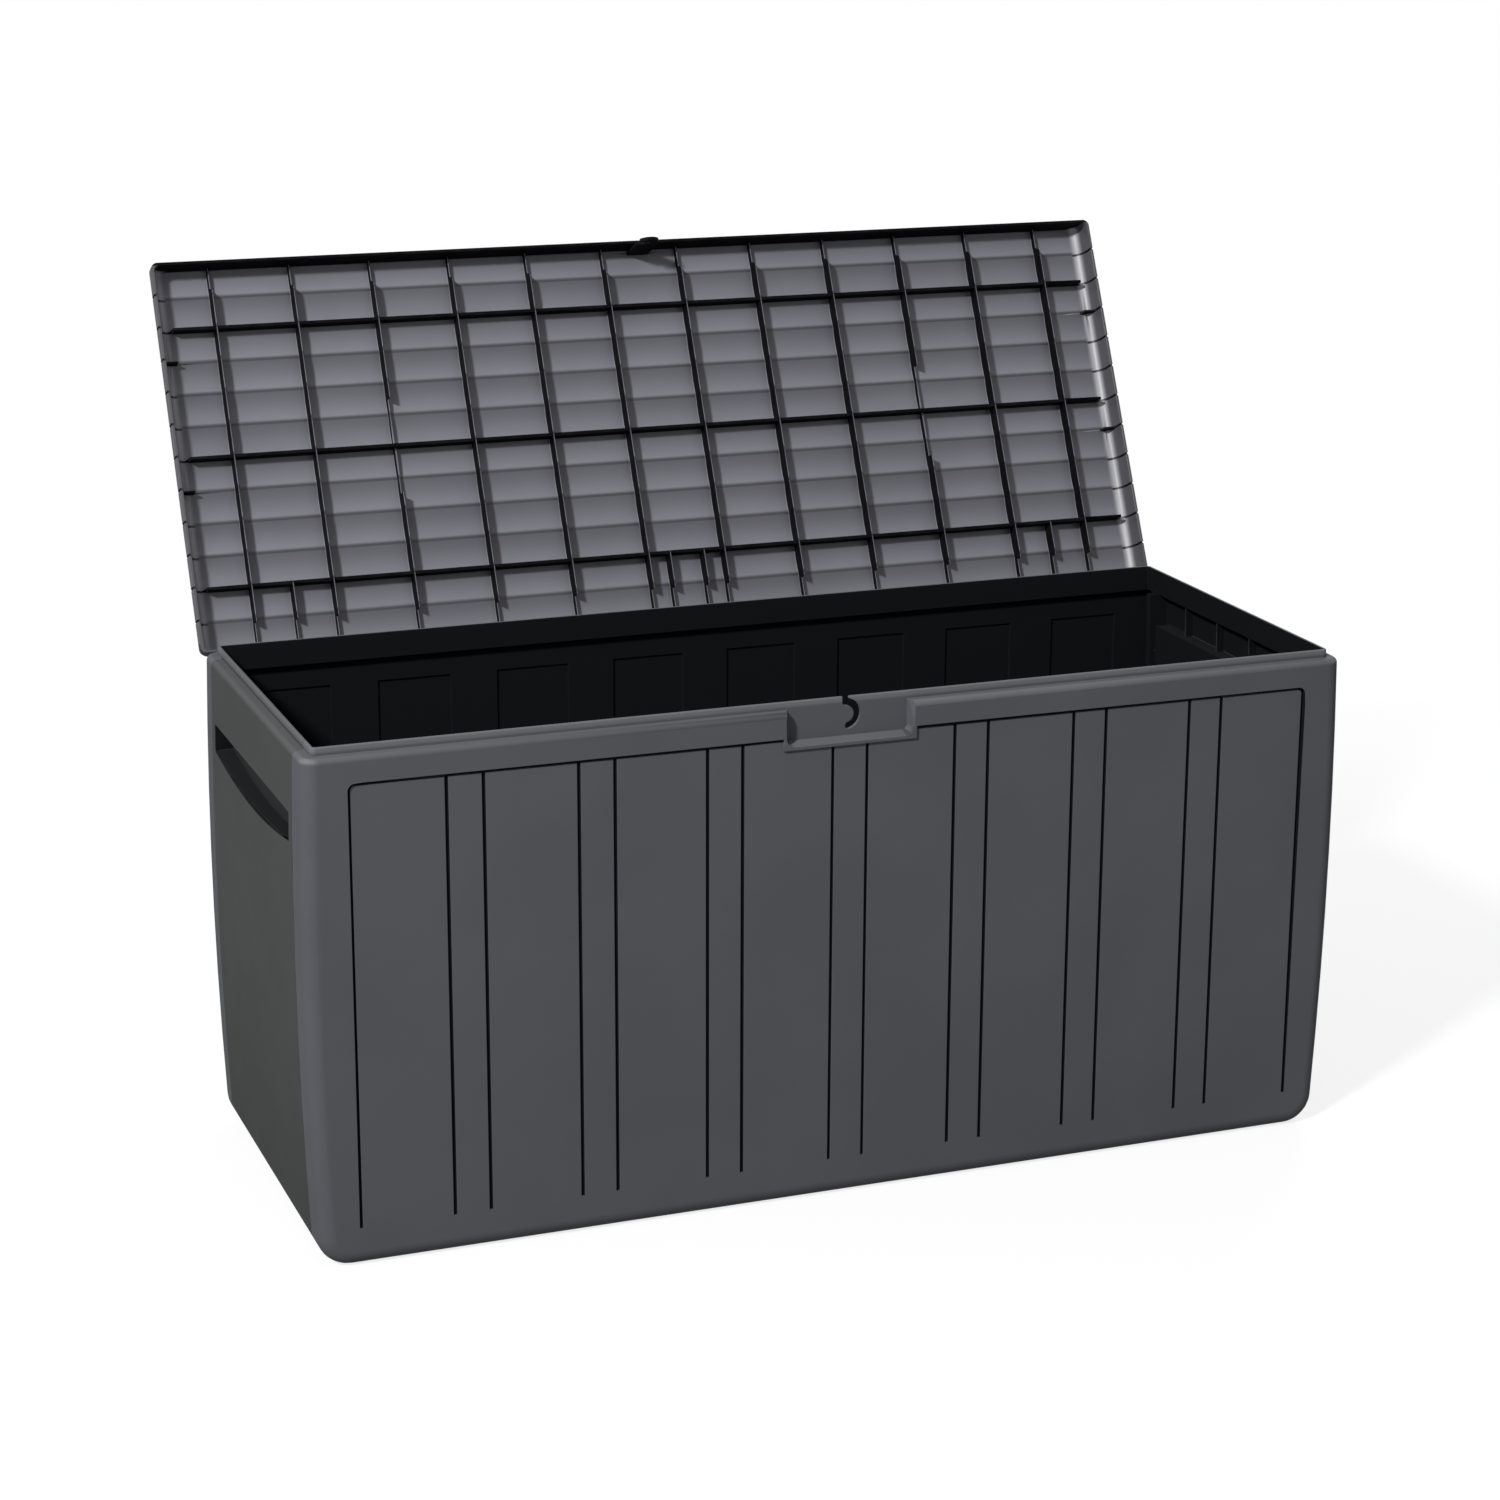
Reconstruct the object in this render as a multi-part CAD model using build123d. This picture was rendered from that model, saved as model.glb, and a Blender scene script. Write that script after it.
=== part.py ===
from build123d import *
import math
import os

# Deck storage box: a planked plastic box put together from moulded panels, with a hinged lid.
# Millimetres. X runs along the length, the front faces -Y, Z is up.
# The origin lies on the ground under the middle of the box. The lid is drawn open.

# Overall form
box_length = 1170.0       # at the rim, over the side walls
box_depth = 450.0
rim_height = 549.0        # top of the outer shoulder of the rim
base_taper = 5.0          # each side wall stands this much further in at the ground than at the rim
side_bow = 6.5            # how far the side walls bow out past a straight line
foot_radius = 35.0        # rounding between side wall and ground
corner_radius = 18.0      # rounding of the upright corners and of the front and rear bottom edges
wall = 4.0

# Rim
rim_depth = 20.0          # height of the thick band at the top
rim_round = 6.0
lip_setback = 12.0        # from the outer face to the raised lip
lip_thickness = 4.0
lip_rise = 9.0
lip_round = 1.5

# Panel joints
seam_setback = 40.0       # front and rear panels wrap the corners up to here
seam_gap = 0.4
flange_width = 24.0
flange_bottom = 44.0
floor_flange = 24.0       # width of the walls' bottom flanges under the floor
floor_thickness = 5.0
floor_clearance = 0.3

# Planked fields, front and rear
plank_count = 8
batten_width = 38.8
field_margin = 46.8       # from the box's end to the first plank line
field_drop = 28.0         # from the rim down to the field
groove_bottom = 43.0
field_recess = 3.0        # at the top of the field, running out to nothing at the bottom
groove_width = 3.2
groove_depth = 2.6
field_corner = 8.0
board_thickness = 8.0
pocket_depth = 2.4        # hollows behind the planks
pocket_margin = 8.0
pocket_bottom = 60.0
pocket_drop = 49.0        # from the rim down to the hollows

# Padlock pocket in the front rim
latch_half_width = 68.0
latch_frame = 7.0
latch_drop = 33.0         # from the rim down to the pocket's floor
latch_ledge = 8.0         # thickness of the ledge under the pocket
latch_draft = 20.0        # slope of the pocket's sides, in degrees
slot_radius = 13.0
slot_width = 8.0
slot_drop = 10.0          # from the rim down to the middle of the hook-shaped slot
slot_shift = -2.0
slot_sweep = 165.0
latch_round = 6.0

# Hand grips in the sides
grip_margin = 55.0        # from the front and rear faces to the grip's ends
grip_drop = 68.0          # from the rim down to the grip
grip_end_height = 30.0
grip_sag = 13.0           # the lower edge bows down by this much at the middle
grip_depth = 20.0
grip_lip = 7.0            # thickness of the bar behind which the fingers curl
grip_undercut = 8.0
grip_wall = 3.5

# Ribs inside the sides
side_rib_count = 4
side_rib_margin = 109.5   # from the front and rear faces to the first rib
side_rib_depth = 10.0
side_rib_thickness = 3.0

# Floor: lines on top and hollows below
floor_groove_count = 5
floor_groove_width = 3.0
floor_groove_depth = 1.0
floor_columns = 6
floor_rows = 4
floor_rib = 6.0

# Lid
lid_gap = 0.5
lid_height = 31.0
lid_wall = 3.5
lid_end_radius = 20.0
lid_edge_radius = 8.0
lid_open_angle = 116.0
lid_plank_count = 12
lid_plank_dish = 1.6      # the planks are dished this deep underneath, with a ridge at each plank line
lid_groove_width = 2.4
lid_groove_depth = 1.4
lid_groove_reach = 10.0   # how far from the lid's ends the plank lines run inside
rib_count = 12
rib_margin = 68.0         # from the lid's end to the first rib
rib_thickness = 2.0
rib_height = 17.5
rib_low_height = 8.0
rib_front_dip = 24.0      # length of the low stretch behind the front skirt
rib_rear_dip = 30.0
rib_break = 56.0          # half length of the low stretch in the third rib from each end
cross_rib_height = 16.0
cross_rib_thickness = 3.5
cross_rib_planks = (2, 6, 10)
gusset_planks = (3, 7)
gusset_length = 18.0
gusset_height = 14.0
centre_rib_offset = 21.0

# Padlock tongue on the lid
tongue_width = 26.0
tongue_thickness = 4.0
tongue_drop = 29.0        # below the lid's skirt
tongue_eye_radius = 4.5   # the shackle's notch is open to one side, so the tongue is a hook
tongue_eye_rise = 11.0    # from the tongue's end to the notch
tongue_clearance = 2.5

# Hinge
hinge_setback = 4.0       # axis behind the rear face
hinge_drop = 6.0          # axis below the rim's shoulder
hinge_clearance = 0.6
knuckle_radius = 6.0
knuckle_width = 14.0
knuckle_gap = 0.5
knuckle_count = 5         # odd ones on the rear panel, even ones on the lid
pin_radius = 3.0
pin_seat_clearance = 0.03
pin_running_clearance = 0.08
pin_head_radius = 5.0
pin_head_thickness = 2.0
stop_reach = 21.0         # how far the lid stops stand behind the rear face
stop_height = 42.0
stop_clearance = 0.4

# Screws
screw_radius = 2.0
screw_hole_clearance = 0.05
screw_head_radius = 4.5
screw_head_thickness = 2.4
screw_boss_radius = 5.0
screw_boss_length = 6.0
screw_boss_floor = 1.0    # the blind end of a boss
corner_screw_count = 3
corner_screw_low = 76.0    # from the flange's bottom to the lowest screw
corner_screw_drop = 69.0   # from the rim band down to the highest screw
floor_screw_count = 4      # along the front and along the rear
floor_screw_margin = 180.0   # from the box's foot to the first screw of a row
floor_screw_side_margin = 135.0
floor_screw_tip = 1.0     # the floor screws end this far above the ground

# Places worked out from the sizes above
base_length = box_length - 2 * base_taper
front = -box_depth / 2
rear = box_depth / 2
lip_top = rim_height + lip_rise
rim_inset = lip_setback + lip_thickness
band_bottom = rim_height - rim_depth
seam = box_depth / 2 - seam_setback
lid_base = rim_height + lid_gap
lid_top = lid_base + lid_height
lid_ceiling = lid_top - lid_wall
plank_pitch = box_depth / lid_plank_count
hinge_y = rear + hinge_setback
hinge_z = rim_height - hinge_drop
pin_length = knuckle_count * knuckle_width + (knuckle_count - 1) * knuckle_gap
hinge_axis = Axis((0, hinge_y, hinge_z), (1, 0, 0))
field_width = box_length - 2 * field_margin
plank_width = (field_width - (plank_count - 1) * batten_width) / plank_count
field_top = rim_height - field_drop
pocket_top = rim_height - pocket_drop
latch_floor = rim_height - latch_drop
latch_frame_bottom = latch_floor - latch_ledge
slot_height = rim_height - slot_drop
grip_half_length = box_depth / 2 - grip_margin
grip_top = rim_height - grip_drop
grip_end_bottom = grip_top - grip_end_height
side_rib_pitch = (box_depth - 2 * side_rib_margin) / (side_rib_count - 1)
rib_pitch = (box_length - 2 * rib_margin) / (rib_count - 1)
floor_half_x = base_length / 2 - foot_radius - floor_flange
floor_half_y = seam
floor_seat_x = base_length / 2 - foot_radius - floor_clearance
floor_seat_y = box_depth / 2 - corner_radius - floor_clearance
hinge_stations = {
    "left": -(rib_count / 2 - 1) * rib_pitch,
    "centre": 0.0,
    "right": (rib_count / 2 - 1) * rib_pitch,
}
far = 2 * (box_length + box_depth + rim_height)
past = 1.0                # cuts and roots run this far past the faces they cross
least_round = 1.0         # roundings moved inwards never get smaller than this


def block(x0, x1, y0, y1, z0, z1):
    """A box between two corners."""
    centre = ((x0 + x1) / 2, (y0 + y1) / 2, (z0 + z1) / 2)
    return Pos(*centre) * Box(x1 - x0, y1 - y0, z1 - z0)


def between(solid, x=(-far, far), y=(-far, far), z=(-far, far)):
    """The part of a solid that lies between the given limits."""
    return solid & block(x[0], x[1], y[0], y[1], z[0], z[1])


def spread(low, high, count):
    """Evenly spaced places from a low to a high one."""
    return [low + (high - low) * i / (count - 1) for i in range(count)]


def half_length_at(height):
    """Half the box's length at a height, on the bowed side wall."""
    share = height / lip_top
    straight = base_length / 2 + (box_length - base_length) / 2 * share
    return straight + 4 * side_bow * share * (1 - share)


def box_outline(inset):
    """The box seen from the front, with every side moved in by the inset."""
    low = (base_length / 2 - inset, inset)
    middle = (half_length_at(lip_top / 2) - inset, lip_top / 2)
    high = (half_length_at(lip_top) - inset, lip_top)
    side = ThreePointArc(low, middle, high)
    outline = [
        Line((-low[0], low[1]), low),
        side,
        Line(high, (-high[0], high[1])),
        side.mirror(Plane.YZ),
    ]
    face = make_face(outline)
    return fillet(face.vertices().group_by(Axis.Y)[0], max(foot_radius - inset, least_round))


def box_form(inset):
    """The rounded form of the box, moved in by the inset all round."""
    solid = extrude(Plane.XZ * box_outline(inset), box_depth / 2 - inset, both=True)
    ends = [solid.faces().sort_by(Axis.Y)[0], solid.faces().sort_by(Axis.Y)[-1]]
    edges = [e for end in ends for e in end.edges() if e.center().Z < lip_top - past]
    return fillet(edges, max(corner_radius - inset, least_round))


def rod(start, direction, radius, length):
    """A cylinder from a start point along a direction."""
    plane = Plane(origin=start, z_dir=direction)
    return extrude(plane * Circle(radius), length)


def upright(points, x, thickness):
    """A flat plate with an outline in Y and Z, centred at x."""
    face = Plane.YZ * make_face(Polyline(*points, close=True))
    return Pos(x, 0, 0) * extrude(face, thickness / 2, both=True)


# The walls of the whole box, before they are parted into panels
outer = box_form(0)
inner = box_form(wall)
wall_core = box_form(wall / 2)
rim_inner = box_form(rim_inset)
lip_outer = box_form(lip_setback)


def box_walls():
    """The thin wall, the thick rim band and the raised lip, as one ring."""
    opening = block(-floor_half_x, floor_half_x, -floor_half_y, floor_half_y, -past, wall + past)
    skin = between(outer - inner, z=(0, rim_height - rim_round)) - opening
    band = between(outer - rim_inner, z=(band_bottom, rim_height))
    band = fillet(band.faces().sort_by(Axis.Z)[-1].outer_wire().edges(), rim_round)
    lip = between(lip_outer - rim_inner, z=(band_bottom, lip_top))
    lip = fillet(lip.faces().sort_by(Axis.Z)[-1].edges(), lip_round)
    return skin + band + lip


walls = box_walls()


def corner_flange(y0, y1):
    """The inward flanges at both ends of a panel, between two depths."""
    ring = between(wall_core - box_form(wall + flange_width), y=(y0, y1),
                   z=(flange_bottom, band_bottom + past))
    return ring - block(-box_length / 4, box_length / 4, y0 - past, y1 + past, 0, rim_height)


def corner_screw_places(side):
    """Where the corner screws on one side stand, as X and Z."""
    inset = wall + flange_width / 2
    heights = spread(flange_bottom + corner_screw_low, band_bottom - corner_screw_drop, corner_screw_count)
    return [(side * (half_length_at(z) - inset), z) for z in heights]


def plank_grooves():
    """The upright lines between planks and battens, by their X places."""
    places = []
    x = -field_width / 2
    for _ in range(plank_count):
        places += [x, x + plank_width]
        x += plank_width + batten_width
    return places


def field_cut():
    """What is taken off a board to leave its planks: a tapered recess and its grooves."""
    half = field_width / 2 + groove_width / 2
    height = field_top - groove_bottom
    outline = Pos(0, (field_top + groove_bottom) / 2) * Rectangle(2 * half, height)
    outline = fillet(outline.vertices().group_by(Axis.Y)[-1], field_corner)
    window = extrude(Plane.XZ * outline, far, both=True)
    taper = field_recess / height
    deep = front + field_recess
    wedge = upright([(front - past, groove_bottom - past * taper), (front, groove_bottom), (deep, field_top),
                     (front - past, field_top)], 0, 2 * half)
    deeper = Pos(0, groove_depth, 0) * wedge
    deeper += block(-half, half, front - past, front + groove_depth, groove_bottom, field_top)
    lines = block(-half, half, front - past, rear, field_top - groove_width, field_top)
    for x in plank_grooves():
        lines += block(x - groove_width / 2, x + groove_width / 2, front - past, rear,
                       groove_bottom, field_top)
    inside = offset(outline, -groove_width)
    rounded = extrude(Plane.XZ * (outline - inside), far, both=True)
    top_corners = between(rounded, z=(field_top - 2 * field_corner, field_top))
    return (wedge & window) + (deeper & window & (lines + top_corners))


def board(walls_part):
    """A planked panel on the front side: its wall, board, hollows, flanges and bosses."""
    slab = between(outer, y=(front, front + board_thickness), z=(0, band_bottom + past))
    panel = walls_part + slab
    middle = plank_width / 2 - pocket_margin
    for x in plank_grooves()[::2]:
        centre = x + plank_width / 2
        panel -= block(centre - middle, centre + middle, front + board_thickness - pocket_depth,
                       front + board_thickness + past, pocket_bottom, pocket_top)
    panel += corner_flange(-seam - wall, -seam)
    for side in (-1, 1):
        for x, z in corner_screw_places(side):
            panel += rod((x, -seam - wall / 2, z), (0, -1, 0), screw_boss_radius,
                         wall / 2 + screw_boss_length)
    for side in (-1, 1):
        for x, z in corner_screw_places(side):
            panel -= rod((x, -seam + past, z), (0, -1, 0), screw_radius + screw_hole_clearance,
                         past + wall + screw_boss_length - screw_boss_floor)
    return panel


def floor_screw_places():
    """Where the floor screws stand, as X and Y."""
    y = box_depth / 2 - corner_radius - (seam_setback - corner_radius) / 2
    x = base_length / 2 - foot_radius - floor_flange / 2
    half = base_length / 2 - floor_screw_margin
    side_half = box_depth / 2 - floor_screw_side_margin
    ends = [(side * x, place) for side in (-1, 1) for place in (-side_half, side_half)]
    return [(place, side * y) for side in (-1, 1) for place in spread(-half, half, floor_screw_count)] + ends


def floor_screw_holes():
    """Clearance for the floor screws, down into the flanges."""
    holes = Part()
    for x, y in floor_screw_places():
        holes += rod((x, y, floor_screw_tip - screw_hole_clearance), (0, 0, 1),
                     screw_radius + screw_hole_clearance, wall + floor_thickness + past)
    return holes


screw_holes = floor_screw_holes()


def latch_slot():
    """The hook-shaped slot for a padlock's shackle, open at the top edge of the plate."""
    start = Vector(slot_shift, slot_height)
    arc = CenterArc((start.X, start.Y), slot_radius, 90 - slot_sweep, slot_sweep)
    slot = SlotArc(arc, slot_width)
    mouth = Pos(start.X, slot_height + slot_radius + lip_rise) * Rectangle(slot_width, 2 * lip_rise)
    return between(extrude(Plane.XZ * (slot + mouth), far, both=True), y=(front - past, 0))


def front_panel():
    """The planked front, with the padlock pocket at the middle of its rim."""
    panel = board(between(walls, y=(front - past, -seam)))
    half = latch_half_width + latch_frame
    frame = block(-half, half, front - past, 0, latch_frame_bottom, lip_top)
    panel -= field_cut() - frame
    back = front + lip_setback
    panel += between(outer, x=(-half, half), y=(front, back + lip_thickness),
                     z=(latch_frame_bottom, band_bottom + past))
    outline = Pos(0, (latch_floor + far) / 2) * Rectangle(2 * latch_half_width, far - latch_floor)
    outline = fillet(outline.vertices().group_by(Axis.Y)[0], latch_round)
    panel -= extrude(Plane((0, back, 0), x_dir=(1, 0, 0), z_dir=(0, -1, 0)) * outline, lip_setback + past,
                     taper=-latch_draft)
    panel -= latch_slot()
    return panel - screw_holes


def knuckle_places(kind):
    """X offsets of a hinge's knuckles: kind 0 is on the rear panel, kind 1 on the lid."""
    pitch = knuckle_width + knuckle_gap
    return [(i - (knuckle_count - 1) / 2) * pitch for i in range(kind, knuckle_count, 2)]


def turned(y, z):
    """A point of the closed lid, carried to where it lies when the lid is open."""
    angle = math.radians(-lid_open_angle)
    dy = y - hinge_y
    dz = z - hinge_z
    return (hinge_y + dy * math.cos(angle) - dz * math.sin(angle),
            hinge_z + dy * math.sin(angle) + dz * math.cos(angle))


def stop_outline():
    """A lid stop in Y and Z: its sloping top carries the lid's rear skirt when the lid is open."""
    near = turned(rear + stop_clearance, lid_base)
    end = turned(rear + stop_clearance, lid_top)
    share = (rear + stop_reach - near[0]) / (end[0] - near[0])
    tip = (rear + stop_reach, near[1] + share * (end[1] - near[1]))
    root = tip[1] - stop_height
    return [(rear - wall / 2, root), (rear, root), (tip[0], tip[1] - knuckle_radius), tip, near,
            (hinge_y, hinge_z), (rear - wall / 2, hinge_z)]


def rear_panel():
    """The planked back, with the hinge knuckles and the lid stops."""
    panel = board(between(walls, y=(front - past, -seam))) - field_cut()
    panel = panel.mirror(Plane.XZ)
    reach = knuckle_radius + hinge_clearance
    for station in hinge_stations.values():
        for offset_x in knuckle_places(1):
            x = station + offset_x
            half = knuckle_width / 2 + knuckle_gap
            panel -= block(x - half, x + half, hinge_y - reach - hinge_setback / 2, rear + past,
                           hinge_z - reach, rim_height + past)
        for offset_x in knuckle_places(0):
            x = station + offset_x
            half = knuckle_width / 2
            panel += rod((x - half, hinge_y, hinge_z), (1, 0, 0), knuckle_radius, knuckle_width)
            panel += upright(stop_outline(), x, knuckle_width)
        length = knuckle_count * (knuckle_width + knuckle_gap)
        panel -= rod((station - length / 2, hinge_y, hinge_z), (1, 0, 0),
                     pin_radius + pin_seat_clearance, length)
        panel -= rod((station - pin_length / 2, hinge_y, hinge_z), (-1, 0, 0),
                     pin_head_radius + hinge_clearance, pin_head_thickness + hinge_clearance)
    return panel - screw_holes


def grip_outline(margin, top):
    """The hand grip's outline in Y and Z, with a margin round it and its top at a height."""
    half = grip_half_length + margin
    bottom = grip_end_bottom - margin
    lower = ThreePointArc((-half, bottom), (0, bottom - grip_sag), (half, bottom))
    upper = Polyline((half, bottom), (half, top), (-half, top), (-half, bottom))
    return make_face([lower, upper])


def side_panel():
    """The right side: smooth and bowed outside, ribbed inside, with a recessed hand grip."""
    depth = seam - seam_gap
    panel = between(walls, x=(0, far), y=(-depth, depth))
    panel += between(corner_flange(-depth, -depth + wall), x=(0, far))
    panel += between(corner_flange(depth - wall, depth), x=(0, far))
    ring = between(wall_core - box_form(wall + side_rib_depth), x=(0, far),
                   z=(flange_bottom, band_bottom + past))
    for i in range(side_rib_count):
        y = (i - (side_rib_count - 1) / 2) * side_rib_pitch
        half = side_rib_thickness / 2
        panel += between(ring, x=(box_length / 4, far), y=(y - half, y + half))
    back = half_length_at(grip_top) - grip_depth
    hidden_top = grip_top + grip_undercut
    cup = extrude(Plane.YZ * grip_outline(grip_wall, hidden_top + grip_wall), grip_depth)
    panel += (Pos(back - grip_wall, 0, 0) * cup) & wall_core
    panel -= Pos(back, 0, 0) * extrude(Plane.YZ * grip_outline(0, grip_top), far)
    panel -= Pos(back, 0, 0) * extrude(Plane.YZ * grip_outline(0, hidden_top), grip_depth - grip_lip)
    for turn in (-1, 1):
        for x, z in corner_screw_places(1):
            panel -= rod((x, turn * depth, z), (0, -turn, 0), screw_radius + screw_hole_clearance,
                         wall + past)
    return panel - screw_holes


def floor_panel():
    """The floor plate, with a pad below that fills the opening between the flanges."""
    plate = block(-floor_seat_x, floor_seat_x, -floor_seat_y, floor_seat_y, wall, wall + floor_thickness)
    x = floor_half_x - floor_clearance
    y = floor_half_y - floor_clearance
    plate += block(-x, x, -y, y, 0, wall)
    top = wall + floor_thickness
    pitch = 2 * floor_half_y / (floor_groove_count + 1)
    for i in range(floor_groove_count):
        centre = (i + 1) * pitch - floor_half_y
        half = floor_groove_width / 2
        plate -= block(-x, x, centre - half, centre + half, top - floor_groove_depth, top + past)
    cell_x = 2 * x / floor_columns
    cell_y = 2 * y / floor_rows
    for column in range(floor_columns):
        for row in range(floor_rows):
            x0 = column * cell_x - x + floor_rib / 2
            y0 = row * cell_y - y + floor_rib / 2
            plate -= block(x0, x0 + cell_x - floor_rib, y0, y0 + cell_y - floor_rib, -past, wall)
    return plate - screw_holes


def lid_outline(inset):
    """The lid seen from the front, moved in by the inset, and open downwards when inset."""
    half = box_length / 2 - inset
    low = lid_base - (lid_height if inset else 0)
    high = lid_top - inset
    face = Pos(0, (low + high) / 2) * Rectangle(2 * half, high - low)
    return fillet(face.vertices().group_by(Axis.Y)[-1], lid_end_radius - inset)


def lid_form(inset):
    """The lid's rounded form, moved in by the inset."""
    solid = extrude(Plane.XZ * lid_outline(inset), box_depth / 2 - inset, both=True)
    ends = [solid.faces().sort_by(Axis.Y)[0], solid.faces().sort_by(Axis.Y)[-1]]
    edges = [e for end in ends for e in end.edges() if e.center().Z > lid_base]
    return fillet(edges, max(lid_edge_radius - inset, least_round))


def plank_line(index):
    """The Y place of a plank line on the closed lid, counted from the front."""
    return front + index * plank_pitch


def dished_ceiling():
    """The hollow under the planks: each plank is dished, so a low ridge runs along each plank line."""
    lines = [plank_line(i) for i in range(lid_plank_count + 1)]
    arcs = []
    ridge = lid_ceiling - lid_plank_dish
    for y0, y1 in zip(lines, lines[1:]):
        arcs.append(ThreePointArc((y0, ridge), ((y0 + y1) / 2, lid_ceiling), (y1, ridge)))
    low = lid_base - lid_height
    rest = Polyline((rear, ridge), (rear, low), (front, low), (front, ridge))
    return extrude(Plane.YZ * make_face(arcs + [rest]), far, both=True)


def rib_outline(breaks):
    """A front-to-back rib in Y and Z: low by the skirts, and low at the middle if it breaks."""
    root = lid_ceiling + lid_wall / 2
    full = lid_ceiling - rib_height
    low = lid_ceiling - rib_low_height
    y0 = front + lid_wall / 2
    y1 = rear - lid_wall / 2
    dip0 = front + lid_wall + rib_front_dip
    dip1 = rear - lid_wall - rib_rear_dip
    points = [(y0, root), (y0, low), (dip0, low), (dip0 + (rib_height - rib_low_height) / 2, full)]
    if breaks:
        points += [(-rib_break, full), (-rib_break, low), (rib_break, low), (rib_break, full)]
    return points + [(dip1, full), (dip1, low), (y1, low), (y1, root)]


def rear_rib_outline():
    """A short rib beside a hinge, from the last cross rib to the rear skirt."""
    points = rib_outline(False)
    start = plank_line(cross_rib_planks[-1])
    return [(start, points[0][1]), (start, points[3][1])] + points[4:]


def lid_ribs():
    """The grid of ribs under the lid."""
    ribs = Part()
    for i in range(rib_count):
        x = (i - (rib_count - 1) / 2) * rib_pitch
        ribs += upright(rib_outline(i in (2, rib_count - 3)), x, rib_thickness)
    for x in (hinge_stations["left"], -centre_rib_offset, centre_rib_offset, hinge_stations["right"]):
        ribs += upright(rear_rib_outline(), x, rib_thickness)
    half = box_length / 2 - lid_end_radius + lid_wall / 2
    for index in cross_rib_planks:
        y = plank_line(index)
        ribs += block(-half, half, y - cross_rib_thickness / 2, y + cross_rib_thickness / 2,
                      lid_ceiling - cross_rib_height, lid_ceiling + lid_wall / 2)
    for index in gusset_planks:
        y = plank_line(index)
        for side in (-1, 1):
            end = side * (box_length / 2 - lid_wall / 2)
            x0, x1 = sorted((end, end - side * gusset_length))
            ribs += block(x0, x1, y - rib_thickness / 2, y + rib_thickness / 2,
                          lid_ceiling - gusset_height, lid_ceiling + lid_wall / 2)
    return ribs & lid_form(lid_wall / 2)


def lid_grooves():
    """The plank lines, cut over the top and round the ends, and more lightly from inside at the ends."""
    over = lid_form(0) - lid_form(lid_groove_depth)
    middle = box_length / 2 - lid_groove_reach
    under = lid_form(lid_wall - lid_groove_depth / 2) - block(-middle, middle, -far, far, -far, far)
    cuts = Part()
    for i in range(1, lid_plank_count):
        span = (plank_line(i) - lid_groove_width / 2, plank_line(i) + lid_groove_width / 2)
        cuts += between(over, y=span) + between(under, y=span)
    return cuts


def tongue():
    """The hooked padlock tongue that hangs from the lid's front skirt into the pocket."""
    end = lid_base - tongue_drop
    y1 = front + lip_setback - tongue_clearance
    y0 = y1 - tongue_thickness
    plate = block(-tongue_width / 2, tongue_width / 2, y0, y1, end, lid_ceiling + lid_wall / 2)
    plate = fillet(plate.edges().filter_by(Axis.Y).group_by(Axis.Z)[0], tongue_width / 2 - least_round)
    middle = end + tongue_eye_rise
    notch = rod((0, y0 - past, middle), (0, 1, 0), tongue_eye_radius, tongue_thickness + 2 * past)
    notch += block(-tongue_width, 0, y0 - past, y1 + past, middle - tongue_eye_radius,
                   middle + tongue_eye_radius)
    return plate - notch


def lid_knuckles():
    """The lid's half of the three hinges."""
    knuckles = Part()
    for station in hinge_stations.values():
        for offset_x in knuckle_places(1):
            x = station + offset_x
            half = knuckle_width / 2
            knuckles += rod((x - half, hinge_y, hinge_z), (1, 0, 0), knuckle_radius, knuckle_width)
            knuckles += block(x - half, x + half, rear - lid_wall + hinge_clearance, hinge_y + knuckle_radius,
                              hinge_z, lid_base + lid_wall)
        length = knuckle_count * (knuckle_width + knuckle_gap)
        knuckles -= rod((station - length / 2, hinge_y, hinge_z), (1, 0, 0),
                        pin_radius + pin_running_clearance, length)
    return knuckles


def lid():
    """The whole lid, made closed and then turned open about the hinge."""
    shell = lid_form(0) - (lid_form(lid_wall) & dished_ceiling())
    closed = shell - lid_grooves() + lid_ribs() + tongue() + lid_knuckles()
    return closed.rotate(hinge_axis, -lid_open_angle)


def hinge_pin(station):
    """A headed pin through one hinge."""
    start = station - pin_length / 2
    pin = rod((start, hinge_y, hinge_z), (1, 0, 0), pin_radius, pin_length)
    return pin + rod((start - pin_head_thickness, hinge_y, hinge_z), (1, 0, 0), pin_head_radius,
                     pin_head_thickness)


def screw(head_seat, direction, length):
    """A pan-headed screw: its head lies on the seat and its shank goes along the direction."""
    back = tuple(-d for d in direction)
    head = rod(head_seat, back, screw_head_radius, screw_head_thickness)
    head = fillet(head.edges().sort_by(Axis(head_seat, back))[-1], screw_head_thickness / 2)
    return head + rod(head_seat, direction, screw_radius, length)


def corner_screws(side, end):
    """The screws of one corner, from inside the box through both flanges."""
    seat = end * (seam - seam_gap - wall)
    length = 2 * wall + seam_gap + screw_boss_length - screw_boss_floor - 2 * screw_hole_clearance
    return Compound([screw((x, seat, z), (0, end, 0), length) for x, z in corner_screw_places(side)])


def floor_screws():
    """The screws through the floor into the walls' flanges."""
    seat = wall + floor_thickness
    return Compound([screw((x, y, seat), (0, 0, -1), seat - floor_screw_tip)
                     for x, y in floor_screw_places()])


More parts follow.
